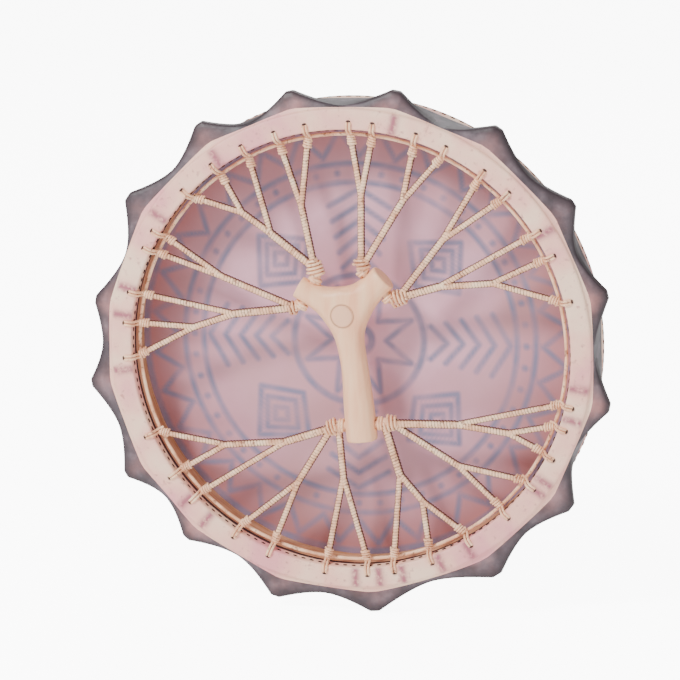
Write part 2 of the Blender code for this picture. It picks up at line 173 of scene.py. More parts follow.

# %% [markdown]
# The skirt over the resonators is grey and mauve. A rosy painted highlight lies on the humps,
# most on the slope behind their crests, and a nearly black line runs along the crests. Two
# attributes of the mesh, crest and peach, say where those two are, so the finish follows the form.

# %% The skirt's rawhide
def skirt_rawhide():
    material, tree, shader = new_material("grey_rawhide_skirt", 0.5)
    grey = ramp(tree, noise(tree, 18), [(0.35, "#3B343A"), (0.52, "#51474E"), (0.68, "#6F6168")])
    # The pink on the humps is a painted highlight, broken up by noise.
    wear_and_highlight = span(tree, noise(tree, 26, 3.0), 0.36, 0.66, 0.1, 0.8)
    painted_highlight = times(tree, wear_and_highlight, attribute(tree, "peach"))
    warm = mix(tree, painted_highlight, grey, "#DB958F")
    edge = span(tree, attribute(tree, "crest"), 0.55, 0.94, 0.0, 0.9)
    tree.links.new(mix(tree, edge, warm, "#33262C"), shader.inputs["Base Color"])
    bump(tree, shader, noise(tree, 5, 6.0, (1, 0.4, 1)), 0.5, 0.9)
    return material


SKIRT = skirt_rawhide()

# %% [markdown]
# The head is dyed lilac and rose. Its painted lines are blue-grey. They are crisp on the playing
# side, and on the inner side they only show through the skin, faint and soft. The mesh carries
# the distance in millimetres to the nearest painted line, so the shader draws both from one
# number. Which side a point is on comes from its Object coordinates: only the playing side lies
# further out than PLAYING_SIDE.

# %% The head's rawhide
PLAYING_SIDE = 27.1 * MM
PLAYING_SIDE_FULL = 27.6 * MM


def head_rawhide():
    material, tree, shader = new_material("dyed_rawhide_head", 0.55)
    dye = ramp(tree, noise(tree, 90), [(0.3, "#E3AFC0"), (0.5, "#D29AAA"), (0.7, "#C9949C")])
    rim_dye = span(tree, attribute(tree, "reach"), 0.55, 0.95, 0.0, 0.75)
    dyed = mix(tree, rim_dye, dye, "#A9655F")
    where = add(tree, "ShaderNodeTexCoord").outputs["Object"]
    depth = add(tree, "ShaderNodeSeparateXYZ", {"Vector": where}).outputs["Y"]
    outside = span(tree, depth, PLAYING_SIDE, PLAYING_SIDE_FULL)
    paint = attribute(tree, "paint")
    crisp = times(tree, span(tree, paint, -0.5, 0.5, 1.0, 0.0), outside)
    soft = span(tree, paint, -1.2, 2.2, 0.95, 0.0)
    wear_and_highlight = times(tree, soft, span(tree, noise(tree, 30), 0.35, 0.6, 0.55, 1.0))
    shown = mix(tree, wear_and_highlight, dyed, "#817C98")
    tree.links.new(mix(tree, crisp, shown, "#5D617D"), shader.inputs["Base Color"])
    bump(tree, shader, noise(tree, 2.5, 5.0), 0.25, 0.4)
    return material


HEAD = head_rawhide()

# %% [markdown]
# The thongs are undyed rawhide, dry and a little yellow. Each is bound with a fine strand, so a
# dark line winds along it. The sweep below stores how deep in that groove each point lies, and
# whether it is on a flank, which is painted dark brown as shade where the thong turns away
# from the back. The grip is a peeled branch, rubbed smooth by the hand, with a fine grain along
# it. The hoop and the blocks are bent birch, browner, and seen only inside the rim.

# %% Thongs, wood and holes
def thong_rawhide():
    material, tree, shader = new_material("dry_rawhide_thong", 0.5)
    pale = ramp(tree, noise(tree, 12), [(0.3, "#FFDDB8"), (0.5, "#FBC9A2"), (0.72, "#DDA27C")])
    groove = times(
        tree,
        span(tree, attribute(tree, "groove"), 0.4, 0.9, 0.0, 0.9),
        span(tree, noise(tree, 9), 0.4, 0.6, 0.4, 1.0),
    )
    flecks = span(tree, noise(tree, 3.5, 4.0), 0.58, 0.68, 0.0, 0.75)
    bound = mix(tree, groove, mix(tree, flecks, pale, "#8A5240"), "#54291E")
    # The flanks get a painted shade, dark brown.
    painted_flank_shade = mix(tree, attribute(tree, "flank"), bound, "#4B2019")
    tree.links.new(painted_flank_shade, shader.inputs["Base Color"])
    bump(tree, shader, noise(tree, 1.5, 4.0), 0.3, 0.3)
    return material


def wood(name, stops, stretch):
    """Grained wood; a knot and the ring round it show where the mesh has those attributes."""
    material, tree, shader = new_material(name, 0.45)
    grain = noise(tree, 9, 6.0, stretch)
    around = attribute(tree, "knot_edge")
    pale = mix(tree, attribute(tree, "knot"), ramp(tree, grain, stops), "#F2BC98")
    tree.links.new(mix(tree, around, pale, "#8E4F36"), shader.inputs["Base Color"])
    bump(tree, shader, grain, 0.25, 0.4)
    return material


def plain(name, hex_value, roughness):
    """One colour with darker spots, for sinew, and for the painted shade of the hem's holes and
    lip.
    """
    material, tree, shader = new_material(name, roughness)
    shade = span(tree, noise(tree, 3), 0.35, 0.65, 0.0, 0.5)
    tree.links.new(mix(tree, shade, hex_value, "#2A1B18"), shader.inputs["Base Color"])
    return material


THONG = thong_rawhide()
GRIP = wood(
    "peeled_branch_wood", [(0.3, "#FFCFA4"), (0.5, "#FCC398"), (0.72, "#F3AE86")], (1, 1, 0.14)
)
BIRCH = wood("bent_birch_wood", [(0.3, "#DDA77C"), (0.7, "#B97A50")], (0.3, 2, 0.3))
# Dark sinew for the stitches; the same dark colour paints shade on the hem's holes and lip.
DARK_SINEW_AND_SHADE = plain("dark_sinew_and_painted_shade", "#4A302A", 0.8)

# %% [markdown]
# The sizes below are the ones that the CAD step was driven by. The dressed skin is computed from
# them again, instead of being read from the solids, so that its mesh can be as fine as the pleats
# and the humps need. The skin stands off the hoop by a rise that peaks over each block. Between
# two blocks it sinks in a hollow curve to a low point, which differs from gap to gap.

# %% Sizes of the drum
DEPTH = 56 * MM
HALF = DEPTH / 2
BORE_RADIUS = 207 * MM
BACK_RADIUS = 227 * MM
FRONT_RADIUS = 232 * MM
SHOULDER = 4 * MM
BACK_CORNER = 3 * MM
BORE_CORNER = 2 * MM
FLARE = (FRONT_RADIUS - BACK_RADIUS) / DEPTH
TALL = 24 * MM
LOW = 18.5 * MM
HIDE_THICKNESS = 1.5 * MM
# The share of the way to the next low point that a hump's top stays level
LEVEL_SHARE = 0.08
HOLLOW = 1.8
# How strong the pink painted highlight is on a low and on a tall hump
LOW_PINK = 1.0
TALL_PINK = 0.45
# Each hump's angle and height, and the hide's rise halfway to the next, in millimetres
HUMPS = (
    (10, LOW, 0.5), (33, TALL, 8.5), (55, TALL, 4.5), (75.5, LOW, 0.5), (100.5, LOW, 0.5),
    (124, TALL, 8.5), (146, TALL, 4.5), (174.5, TALL, 9), (196.5, TALL, 2.5), (220, LOW, 4.5),
    (239, TALL, 9), (260.5, TALL, 9), (279, LOW, 1.5), (303, TALL, 6.5), (325.5, TALL, 2.5),
    (346.5, LOW, 1.5),
)


def rim(angle, radius, y):
    """The place at this angle, clockwise from the top as seen from the back."""
    turn = math.radians(angle)
    return Vector((radius * math.sin(turn), y, radius * math.cos(turn)))


def rise_at(angle):
    """How far the hide stands off the hoop here, and how strong its pink painted highlight is."""
    for i, (peak, height, low_after) in enumerate(HUMPS):
        following, next_height, _ = HUMPS[(i + 1) % len(HUMPS)]
        share = ((angle - peak) % 360) / ((following - peak) % 360)
        if share <= 1:
            near = height if share < 0.5 else next_height
            fall = max(0, (min(share, 1 - share) * 2 - LEVEL_SHARE) / (1 - LEVEL_SHARE))
            low = low_after * MM
            return low + (near - low) * (1 - fall) ** HOLLOW, LOW_PINK if near == LOW else TALL_PINK
    return 0, 0


def piece_of(name, bm, materials, node_names):
    """Make the finished piece, riding on the drum and standing for its CAD nodes."""
    mesh = bpy.data.meshes.new(name)
    bm.to_mesh(mesh)
    bm.free()
    for material in materials:
        mesh.materials.append(material)
    mesh.shade_smooth()
    piece = bpy.data.objects.new(name, mesh)
    bpy.context.scene.collection.objects.link(piece)
    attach(piece, "root")
    if node_names:
        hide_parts(*node_names)
    print(f"{name}: {len(mesh.polygons)} faces")
    return piece

# %% [markdown]
# The skirt and hem are one skin over hoop and blocks. They are built as a grid: columns go round
# the rim, and rows go from the shoulder, down the skirt, across the hem and into the bore. The
# blocks push out the rows near the back, and pleats lift the hem where the skin was gathered.
# Solidify then gives the surface the thickness of the skin, inwards.

# %% The skirt and the hem
COLUMNS = 960
PLEATS = (11, 57, 97, 105, 122, 125, 148, 156, 166, 172, 178, 219, 226, 263, 277, 284, 304, 325)
# The grey stops short of the head, where the skin stays pale
PALE_FRONT = 12 * MM
PLEAT_WIDTH = 1.1
PLEAT_LIFT = 0.9 * MM
SHOULDER_STEPS = 5
BORE_STEPS = 4
# The rise starts here, in millimetres, and is full after the run towards the back
RISE_START = 24
RISE_RUN = 38
RISE_CURVE = 1.3
# A row that stands out more than this is a crest; the painted highlight is strong behind CREST_END
CREST_RISE = 1 * MM
CREST_END = -21 * MM
PINK_POWER = 2.2


def skirt_rows():
    """(radius, y, share of the rise, finish, share of the pleats' lift), from front to bore."""
    rows = []
    for step in range(SHOULDER_STEPS + 1):
        turn = step / SHOULDER_STEPS * math.pi / 2
        reach = FRONT_RADIUS - SHOULDER + SHOULDER * math.sin(turn)
        rows.append((reach, HALF - SHOULDER + SHOULDER * math.cos(turn), 0, 0, 0))
    for y_mm in range(22, -15, -3):
        share = ((RISE_START - y_mm) / RISE_RUN) ** RISE_CURVE
        rows.append((BACK_RADIUS + (y_mm * MM + HALF) * FLARE, y_mm * MM, share, 0, 0))
    for y_mm, share in (
        (-16, 1), (-18.5, 1), (-20.5, 1), (-22, 0.94), (-23, 0.7), (-23.8, 0.42), (-24.5, 0.18),
    ):
        rows.append((BACK_RADIUS + (y_mm * MM + HALF) * FLARE, y_mm * MM, share, 0, 0))
    for step in range(SHOULDER_STEPS + 1):
        turn = step / SHOULDER_STEPS * math.pi / 2
        reach = BACK_RADIUS - BACK_CORNER + BACK_CORNER * math.cos(turn)
        y = -HALF + BACK_CORNER - BACK_CORNER * math.sin(turn)
        rows.append((reach, y, 0, 1, step / SHOULDER_STEPS))
    for radius_mm in (221, 218, 215, 212):
        rows.append((radius_mm * MM, -HALF, 0, 1, 1))
    for step in range(BORE_STEPS + 1):
        turn = step / BORE_STEPS * math.pi / 2
        reach = BORE_RADIUS + BORE_CORNER - BORE_CORNER * math.sin(turn)
        y = -HALF + BORE_CORNER - BORE_CORNER * math.cos(turn)
        rows.append((reach, y, 0, 1, 1 - step / BORE_STEPS))
    # The strip deepest in the bore is dark: a painted shadow line at the lip's edge
    for deep, finish in ((6, 1), (13, 1), (18.5, 2)):
        rows.append((BORE_RADIUS, -HALF + deep * MM, 0, finish, 0))
    return rows


def pleat_at(angle):
    """1 on a pleat, falling to 0 a degree or two away."""
    nearest = min(abs((angle - pleat + 180) % 360 - 180) for pleat in PLEATS)
    return math.exp(-((nearest / PLEAT_WIDTH) ** 2))


def make_skirt():
    rows = skirt_rows()
    angles = [column * 360 / COLUMNS for column in range(COLUMNS)]
    rises = [rise_at(angle) for angle in angles]
    pleats = [pleat_at(angle) for angle in angles]
    bm = bmesh.new()
    crest = bm.verts.layers.float.new("crest")
    peach = bm.verts.layers.float.new("peach")
    pleat_shade_layer = bm.verts.layers.float.new("pleat")
    grid = []
    for radius, y, share, _, lift in rows:
        line = []
        for angle, (rise, pinkness), pleat in zip(angles, rises, pleats):
            vert = bm.verts.new(rim(angle, radius + share * rise, y - lift * pleat * PLEAT_LIFT))
            vert[crest] = share if rise * share > CREST_RISE else 0
            # peach is the strength of the pink painted highlight, highest behind the crest
            behind = 1 - share if y < CREST_END else 0.2
            middle = min(1, rise / (LOW if pinkness == LOW_PINK else TALL)) ** PINK_POWER
            vert[peach] = pinkness * middle * (0.25 + 0.75 * behind)
            # How much painted shade the pleat gets
            vert[pleat_shade_layer] = pleat * lift
            line.append(vert)
        grid.append(line)
    for (line, after), row in zip(zip(grid, grid[1:]), rows[1:]):
        for i in range(COLUMNS):
            j = (i + 1) % COLUMNS
            face = bm.faces.new((line[i], line[j], after[j], after[i]))
            face.material_index = 1 if row[1] > PALE_FRONT else row[3]
    bmesh.ops.recalc_face_normals(bm, faces=bm.faces)
    on_skirt = grid[8][0]
    if on_skirt.link_faces[0].normal.dot(rim(0, 1, 0)) < 0:
        bmesh.ops.reverse_faces(bm, faces=bm.faces)
    skirt = piece_of("hide_skirt_and_hem", bm, (SKIRT, HEM, DARK_SINEW_AND_SHADE), ("hide_cover",))
    skin = skirt.modifiers.new("skin", "SOLIDIFY")
    skin.thickness = HIDE_THICKNESS
    skin.offset = -1


make_skirt()

# %% [markdown]
# The painting is a plain pattern of the kind that many peoples paint on drums: a star, rings,
# zigzags, diamonds and dots. It is a list of strokes. For each point of the head, the distance to
# the nearest stroke goes into an attribute.

# %% The painted strokes
def polar(angle, radius):
    turn = math.radians(angle)
    return (radius * math.sin(turn), radius * math.cos(turn))


def ring(radius, width, count=96):
    points = [polar(360 * i / count, radius) for i in range(count + 1)]
    return [(a, b, width) for a, b in zip(points, points[1:])]


def closed_line(points, width):
    return [(a, b, width) for a, b in zip(points, points[1:] + points[:1])]


def strokes():
    """Every painted stroke as (start, end, half its width), in millimetres on the head."""
    made = ring(206, 2.8) + ring(168, 2.2) + ring(150, 2.2) + ring(62, 2.6) + ring(12, 3.2)
    teeth = 32
    made += closed_line(
        [polar(180 * i / teeth, 199 if i % 2 else 175) for i in range(2 * teeth)], 2.1
    )
    made += closed_line([polar(22.5 * i, 54 if i % 2 else 26) for i in range(16)], 2.2)
    for i in range(48):
        dot = polar(7.5 * i, 159)
        made.append((dot, dot, 2.6))
    for quarter in range(4):
        middle = 45 + 90 * quarter
        for half in (30, 19, 8):
            corners = [
                polar(middle, 106 + half), polar(middle + half * 0.6, 106),
                polar(middle, 106 - half), polar(middle - half * 0.6, 106),
            ]
            made += closed_line(corners, 2.2)
        side = 90 * quarter
        for reach in (84, 99, 114, 129, 144):
            for lean in (-13, 13):
                made.append((polar(side, reach), polar(side + lean, reach - 14), 2.2))
    return made


def distance_to_strokes(points):
    """The least distance of each point to a stroke's edge, in millimetres."""
    nearest = np.full(len(points), 99.0)
    for start, end, half_width in strokes():
        a = np.array(start)
        along = np.array(end) - a
        length = max(along @ along, 1e-9)
        share = np.clip((points - a) @ along / length, 0, 1)
        gap = np.linalg.norm(points - a - share[:, None] * along, axis=1) - half_width
        nearest = np.minimum(nearest, gap)
    return nearest

# %% [markdown]
# The head is one flat sheet of skin from shoulder to shoulder. It needs a fine grid only so that
# every point can carry its distance to the paint. The grid is round, like the drum, and Solidify
# gives it the same thickness as the skirt.

# %% The head
HEAD_COLUMNS = 480
HEAD_ROWS = 84


def make_head():
    edge = FRONT_RADIUS - SHOULDER
    bm = bmesh.new()
    paint = bm.verts.layers.float.new("paint")
    reach = bm.verts.layers.float.new("reach")
    middle = bm.verts.new((0, HALF, 0))
    grid = []
    for row in range(1, HEAD_ROWS + 1):
        radius = edge * row / HEAD_ROWS
        angles = [360 * i / HEAD_COLUMNS for i in range(HEAD_COLUMNS)]
        grid.append([bm.verts.new(rim(angle, radius, HALF)) for angle in angles])
    places = np.array([(v.co.x, v.co.z) for v in bm.verts]) / MM
    for vert, gap in zip(bm.verts, distance_to_strokes(places)):
        vert[paint] = gap
        vert[reach] = math.hypot(vert.co.x, vert.co.z) / edge
    for i in range(HEAD_COLUMNS):
        j = (i + 1) % HEAD_COLUMNS
        bm.faces.new((middle, grid[0][i], grid[0][j]))
        for line, after in zip(grid, grid[1:]):
            bm.faces.new((line[i], after[i], after[j], line[j]))
    bmesh.ops.recalc_face_normals(bm, faces=bm.faces)
    if middle.link_faces[0].normal.y < 0:
        bmesh.ops.reverse_faces(bm, faces=bm.faces)
    head = piece_of("painted_head", bm, (HEAD,), ())
    skin = head.modifiers.new("skin", "SOLIDIFY")
    skin.thickness = HIDE_THICKNESS
    skin.offset = -1


make_head()

# %% [markdown]
# A thong is swept along its route as a ring of points that turns with the route. Its radius dips
# along a spiral, which is the groove of the fine strand that binds it.

# %% Sweep a bound thong
GROOVE_PITCH = 2.9 * MM
# A share of the radius
GROOVE_DEPTH = 0.16
SIDES = 14
STEP = 0.6 * MM
SMOOTHINGS = 3
# A point faces the back at -1 along Y; above this value the flank starts to get painted shade
FLANK_START = -0.74
FLANK_SPAN = 0.2
# Hardly any route starts this way, so it gives every sweep its first sideways direction
LEAST_LIKELY_WAY = (0.02, 1.0, 0.03)


def resample(route):
    """Even points on a rounded line through (place, radius) pairs."""
    places = np.array([place for place, _ in route])
    radii = np.array([radius for _, radius in route])
    lengths = np.concatenate([[0], np.cumsum(np.linalg.norm(np.diff(places, axis=0), axis=1))])
    count = max(int(lengths[-1] / STEP), 4)
    at = np.linspace(0, lengths[-1], count + 1)
    line = np.column_stack([np.interp(at, lengths, places[:, i]) for i in range(3)])
    for _ in range(SMOOTHINGS):
        line[1:-1] = (line[:-2] + 2 * line[1:-1] + line[2:]) / 4
    return line, np.interp(at, lengths, radii), at


def sweep(bm, route, grooved=True):
    """Sweep a round strand along the route; a grooved one is bound with a finer strand."""
    layer = bm.verts.layers.float.get("groove") or bm.verts.layers.float.new("groove")
    flank = bm.verts.layers.float.get("flank") or bm.verts.layers.float.new("flank")
    line, radii, at = resample(route)
    tangents = np.gradient(line, axis=0)
    tangents /= np.linalg.norm(tangents, axis=1)[:, None]
    side = np.cross(tangents[0], LEAST_LIKELY_WAY)
    rings = []
    for place, tangent, radius, length in zip(line, tangents, radii, at):
        side = side - tangent * (side @ tangent)
        side /= np.linalg.norm(side)
        other = np.cross(tangent, side)
        ring_verts = []
        for i in range(SIDES):
            turn = math.tau * i / SIDES
            wave = 0.5 + 0.5 * math.cos(turn - math.tau * length / GROOVE_PITCH)
            dip = wave ** 3 if grooved else 0.0
            reach = radius * (1 - GROOVE_DEPTH * dip)
            out = side * math.cos(turn) + other * math.sin(turn)
            vert = bm.verts.new(place + out * reach)
            vert[layer] = dip
            # flank: how much painted shade this point gets
            vert[flank] = min(1, max(0, (out[1] - FLANK_START) / FLANK_SPAN)) if grooved else 0
            ring_verts.append(vert)
        rings.append(ring_verts)
    for ring_verts, after in zip(rings, rings[1:]):
        for i in range(SIDES):
            j = (i + 1) % SIDES
            bm.faces.new((ring_verts[i], ring_verts[j], after[j], after[i]))
    bm.faces.new(list(reversed(rings[0])))
    bm.faces.new(rings[-1])

# %% [markdown]
# The lacing takes the routes of its CAD solids: from the edge cord over the forks to the cuffs,
# which are the windings at the grip. The numbers below repeat the ones of the CAD step, in
# millimetres and degrees. A thong's end at the rim is an angle, a fork is an angle with a share
# of the bore's radius, and a branch ends in a cuff.

# %% Routes of the lacing
HANDLE_Y = -13 * MM
HOLES = {
    # end of the limb, where the limb starts, how far in the hole is, and the limb's radius there
    "left": (Vector((-50, -13, 57)) * MM, Vector((-5, -13, 33)) * MM, 11 * MM, 10.5 * MM),
    "right": (Vector((31, -13, 69)) * MM, Vector((-5, -13, 33)) * MM, 11 * MM, 13.5 * MM),
    "foot": (Vector((11, -13, -87)) * MM, Vector((4, -13, -18)) * MM, 15 * MM, 15 * MM),
}
CUFFS = {
    # the hole, the side of the limb, the turns, the radius, and the angle it points to
    "left_upper": ("left", 1, 4, 6.2, 350),
    "left_lower": ("left", -1, 2, 4.2, 262),
    "right_upper": ("right", -1, 2, 6.2, 359),
    "right_lower": ("right", 1, 4, 6.2, 75),
    "foot_left": ("foot", 1, 3, 6.2, 253),
    "foot_right": ("foot", -1, 3, 6.2, 86),
}
BRANCHES = {
    # ends at the rim, forks, the cuff, and where along the cuff its side is joined; None
    # runs into the cuff by its far end
    "a": ((349, 341), ((341, 0.68),), "left_upper", None),
    "b": ((323, 313, 332), ((321, 0.78), (325, 0.63)), "left_upper", 0.75),
    "c": ((300, 295), ((298, 0.66),), "left_lower", 1),
    "d": ((275, 266, 283), ((276, 0.72), (285, 0.55)), "left_lower", None),
    "e": ((245, 233, 225), ((231, 0.74), (214, 0.53)), "foot_left", None),
    "f": ((211, 201), ((201, 0.67),), "foot_left", 0.85),
    "g": ((186, 175), ((183, 0.59),), "foot_left", 0),
    "h": ((158, 147, 168), ((154, 0.76), (158, 0.61)), "foot_right", 0.1),
    "i": ((135, 125), ((136, 0.71),), "foot_right", 1),
    "j": ((116, 108, 102), ((116, 0.8), (124, 0.58)), "foot_right", None),
    "k": ((75, 63, 56), ((63, 0.72), (53, 0.5)), "right_lower", None),
    "l": ((44, 36), ((39, 0.66),), "right_lower", 0.7),
    "m": ((25, 17), ((19, 0.72),), "right_upper", 0.6),
    "n": ((6, 0), ((4, 0.7),), "right_upper", None),
}
WRAP = 1.4 * MM
PITCH = 3.4 * MM
CUFF_STANDOFF = 5.6 * MM
SMALL_CUFF = 4.2 * MM
# How deep a branch's end sits in a cuff's side, as a share of the radius, and how far from the
# near end one that runs in by the far end stops, as a share of the length
END_DEPTH = 0.5
LAST_END = 0.4
CORD_RING = 202.3 * MM
OVER_CORD_Y = -18.6 * MM


def cuff_frame(name):
    """The near end of a cuff, its direction and its length."""
    tie, side, turns, _, angle = CUFFS[name]
    end, start, set_in, radius = HOLES[tie]
    limb = (end - start).normalized()
    way = Vector((limb.z, 0, -limb.x))
    near = end - limb * set_in + way * side * (radius + CUFF_STANDOFF)
    return near, rim(angle, 1, 0), turns * PITCH


def cuff_radius(name, share):
    widest = CUFFS[name][3] * MM
    return widest + (min(SMALL_CUFF, widest) - widest) * share


def fork_point(angle, share):
    return rim(angle, share * BORE_RADIUS, HANDLE_Y + (OVER_CORD_Y - HANDLE_Y) * share)


def stem_end(name, share, fork):
    near, way, length = cuff_frame(name)
    if share is None:
        return near + way * (length * LAST_END)
    foot = near + way * (WRAP + share * length)
    away = fork - foot
    away.y = 0
    away.normalize()
    side = (away - way * away.dot(way)).normalized()
    return foot + side * (cuff_radius(name, share) * END_DEPTH)

# %% [markdown]
# Each branch is one piece. Its stem is two or three thongs thick, and thins towards the forks.
# Every thong narrows to its end on the edge cord, where four turns of a finer strand hold it.

# %% Make the lacing
THONG_RADIUS = 3.2 * MM
STEM_RADII = (3.6 * MM, 4.2 * MM)
# The stem runs on past a fork, thinner, so that the fork has no gap
FORK_RUN_ON = 2 * MM
FORK_THINNING = 0.85
THONG_END = 1.9 * MM
OVER_CORD = 1.5 * MM
NECK_MM = 10
COIL_TURNS = 4
COIL_START_MM = 1.5
COIL_REACHES = (2.7 * MM, 3.7 * MM)
COIL_STRAND = 1 * MM
POINTS_A_TURN = 16


def coil_round(bm, start, end, turns, reaches, strand):
    """A strand wound round the line from start to end, at the distances in reaches."""
    way = (end - start).normalized()
    side = way.cross(Vector((0, 1, 0))).normalized()
    up = side.cross(way)
    route = []
    for i in range(turns * POINTS_A_TURN + 1):
        share = i / (turns * POINTS_A_TURN)
        turn = math.tau * i / POINTS_A_TURN
        reach = reaches[0] + (reaches[1] - reaches[0]) * share
        out = side * math.cos(turn) + up * math.sin(turn)
        route.append((start.lerp(end, share) + out * reach, strand))
    sweep(bm, route, grooved=False)


def make_branch(letter, angles, forks, cuff, share):
    bm = bmesh.new()
    places = [fork_point(*fork) for fork in forks]
    stops = [*places, stem_end(cuff, share, places[-1])]
    for place, after, radius in zip(places, stops[1:], STEM_RADII):
        onward = (place - after).normalized() * FORK_RUN_ON
        thin = radius * FORK_THINNING
        sweep(bm, ((place + onward, thin), (place, radius), (after, radius)))
    targets = [places[0], places[0], places[-1]]
    for angle, fork in zip(angles, targets):
        over = rim(angle, CORD_RING + OVER_CORD, OVER_CORD_Y)
        along_thong = (fork - over).normalized() * MM
        neck = over + along_thong * NECK_MM
        sweep(bm, ((over, THONG_END), (neck, THONG_RADIUS), (fork, THONG_RADIUS)))
        first = over + along_thong * COIL_START_MM
        coil_round(bm, first, neck + along_thong, COIL_TURNS, COIL_REACHES, COIL_STRAND)
    piece_of(f"thongs_{letter}", bm, (THONG,), (f"lacing_{letter}",))


for letter, branch in BRANCHES.items():
    make_branch(letter, *branch)

# %% [markdown]
# The windings, the ties inside them and the edge cord keep their CAD shape. A copy of each is
# merged and subdivided, which makes its six sides round. Two more turns close each winding up to
# the grip.

# %% Windings, ties, cord and wood
MERGE_WITHIN = 0.01 * MM
CLOSING_TURNS = 2
CLOSING_LENGTH = 5.2 * MM
CLOSING_REACHES = (5.4 * MM, 5.6 * MM)


def smooth_copy(node_name):
    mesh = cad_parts[node_name].data.copy()
    mesh.materials.clear()
    bm = bmesh.new()
    bm.from_mesh(mesh)
    bmesh.ops.remove_doubles(bm, verts=bm.verts, dist=MERGE_WITHIN)
    cuff = node_name.removeprefix("lashing_")
    if cuff in CUFFS:
        near = cuff_frame(cuff)[0]
        end, start, set_in, _ = HOLES[CUFFS[cuff][0]]
        inside = end - (end - start).normalized() * set_in
        at_grip = near + (inside - near).normalized() * CLOSING_LENGTH
        coil_round(bm, at_grip, near, CLOSING_TURNS, CLOSING_REACHES, WRAP)
    piece = piece_of(f"{node_name}_thong", bm, (THONG,), (node_name,))
    finer = piece.modifiers.new("finer", "SUBSURF")
    finer.levels = 1
    finer.render_levels = 1


for node_name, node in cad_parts.items():
    if node_name.startswith(("tie_", "lashing_")) or node_name == "edge_cord":
        smooth_copy(node_name)
    elif node_name == "hoop" or node_name.startswith("resonator_"):
        node.data.materials.clear()
        node.data.materials.append(BIRCH)

# %% [markdown]
# The grip was whittled and sanded by hand, so it has no sharp edge. A copy of its solid is made
# again from even small faces, and smoothed. Where a side branch was cut off in the fork, a pale
# knot stands out a little, with a darker ring round it.

# %% The grip
KNOT_AT = (-6 * MM, 33 * MM)
KNOT_RADIUS = 10.5 * MM
KNOT_RISE = 1.1 * MM
VOXEL = 1.1 * MM
SANDING = 8
# The ring round the knot, as shares of the knot's radius, and how dark it is
RING_AT = 1.02
RING_WIDTH = 0.07
RING_DARK = 0.8
KNOT_EDGE_SHARPNESS = 8


def make_grip():
    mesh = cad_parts["handle"].data.copy()
    bm = bmesh.new()
    bm.from_mesh(mesh)
    bmesh.ops.remove_doubles(bm, verts=bm.verts, dist=MERGE_WITHIN)
    bm.to_mesh(mesh)
    bm.free()
    rough = bpy.data.objects.new("rough_grip", mesh)
    bpy.context.scene.collection.objects.link(rough)
    even = rough.modifiers.new("even", "REMESH")
    even.mode = "VOXEL"
    even.voxel_size = VOXEL
    sanded = rough.modifiers.new("sanded", "SMOOTH")
    sanded.iterations = SANDING
    graph = bpy.context.evaluated_depsgraph_get()
    smooth_mesh = bpy.data.meshes.new_from_object(rough.evaluated_get(graph))
    bpy.data.objects.remove(rough, do_unlink=True)
    bm = bmesh.new()
    bm.from_mesh(smooth_mesh)
    knot = bm.verts.layers.float.new("knot")
    knot_edge = bm.verts.layers.float.new("knot_edge")
    for vert in bm.verts:
        if vert.normal.y > 0:
            continue
        away = math.hypot(vert.co.x - KNOT_AT[0], vert.co.z - KNOT_AT[1]) / KNOT_RADIUS
        vert[knot] = min(1, max(0, (1 - away) * KNOT_EDGE_SHARPNESS))
        vert[knot_edge] = math.exp(-(((away - RING_AT) / RING_WIDTH) ** 2)) * RING_DARK
        vert.co.y -= KNOT_RISE * max(0, 1 - away ** 4) if away < 1 else 0
    for face in bm.faces:
        face.material_index = 0
    piece_of("whittled_grip", bm, (GRIP,), ("handle",))


make_grip()

# %% [markdown]
# Strands, holes and stitches repeat round the rim, so Geometry Nodes place them. One shape is made
# at the top of the rim. The tree sets a copy at each point and turns it about the drum's axis by
# the point's own angle.

# %% The tree that repeats a shape round the rim
def rim_tree():
    tree = bpy.data.node_groups.new("repeat_round_the_rim", "GeometryNodeTree")
    face = tree.interface
    face.new_socket("Points", in_out="INPUT", socket_type="NodeSocketGeometry")
    face.new_socket("Shape", in_out="INPUT", socket_type="NodeSocketObject")
    face.new_socket("Finish", in_out="INPUT", socket_type="NodeSocketMaterial")
    face.new_socket("Geometry", in_out="OUTPUT", socket_type="NodeSocketGeometry")
    given = add(tree, "NodeGroupInput")
    shape = add(tree, "GeometryNodeObjectInfo", {"Object": given.outputs["Shape"]})
    turn = add(tree, "GeometryNodeInputNamedAttribute", data_type="FLOAT", Name="turn")
    angles = add(tree, "ShaderNodeCombineXYZ", {"Y": turn.outputs["Attribute"]})
    turned = add(tree, "FunctionNodeEulerToRotation", {"Euler": angles.outputs["Vector"]})
    points = add(tree, "GeometryNodeMeshToPoints", {"Mesh": given.outputs["Points"]})
    placed = add(tree, "GeometryNodeInstanceOnPoints", {
        "Points": points.outputs["Points"], "Instance": shape.outputs["Geometry"],
        "Rotation": turned.outputs["Rotation"],
    })
    real = add(tree, "GeometryNodeRealizeInstances", {"Geometry": placed.outputs["Instances"]})
    done = add(tree, "GeometryNodeSetMaterial", {
        "Geometry": real.outputs["Geometry"], "Material": given.outputs["Finish"],
    })
    add(tree, "NodeGroupOutput", {"Geometry": done.outputs["Geometry"]})
    return tree


RIM_TREE = rim_tree()


